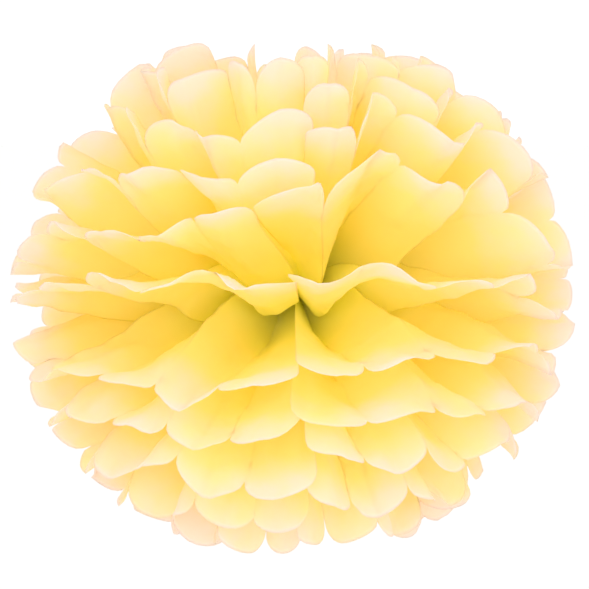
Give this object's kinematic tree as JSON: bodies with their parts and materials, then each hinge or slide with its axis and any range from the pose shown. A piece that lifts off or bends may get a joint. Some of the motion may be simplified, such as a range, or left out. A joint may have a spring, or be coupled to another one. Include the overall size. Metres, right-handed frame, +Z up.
{
  "type": "tissue paper pom pom",
  "caption": "Hanging tissue paper pom pom in soft yellow: folded tissue sheets tied at the middle with wire and pulled apart into a ball of petals.",
  "frame": {"origin": "middle of the wire tie that holds the folded sheets, where all the folds meet", "axes": "+Z up, along the pom pom's shorter axis, from which it hangs; the folds run through the tie along X; -Y is the side that shows the seam between the two fans"},
  "size_m": [0.347, 0.3545, 0.308],
  "materials": {
    "tissue": "matt translucent tissue, pale yellow",
    "wire": "plain drawn florist's wire"
  },
  "bodies": {
    "root": {"sheet_01": "tissue", "sheet_02": "tissue", "sheet_03": "tissue", "sheet_04": "tissue", "sheet_05": "tissue", "sheet_06": "tissue", "sheet_07": "tissue", "sheet_08": "tissue", "sheet_09": "tissue", "sheet_10": "tissue", "tie_wire": "wire"}
  },
  "joints": []
}
